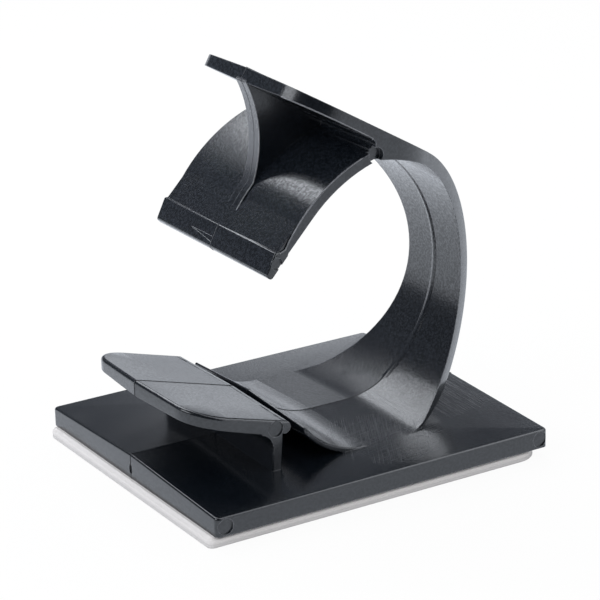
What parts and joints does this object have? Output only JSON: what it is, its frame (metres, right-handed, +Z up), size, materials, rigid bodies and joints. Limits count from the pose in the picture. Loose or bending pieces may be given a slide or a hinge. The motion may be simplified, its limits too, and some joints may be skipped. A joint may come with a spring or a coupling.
{
  "type": "adhesive cable clip",
  "caption": "Open releasable cable clip: flat base on an adhesive foam pad, C-shaped arm with thumb plate, webbed jaw and hook, and a latch post with release tab.",
  "frame": {"origin": "underside of the adhesive pad, below the middle of the base plate", "axes": "+X along the side profile from the release tab towards the back of the arm, +Y across the width, +Z up away from the surface the clip is stuck to"},
  "size_m": [0.0295, 0.0254, 0.0305],
  "materials": {
    "black_nylon": "satin",
    "white_foam": "matt"
  },
  "bodies": {
    "root": {"clip_body": "black_nylon", "adhesive_pad": "white_foam"}
  },
  "joints": []
}
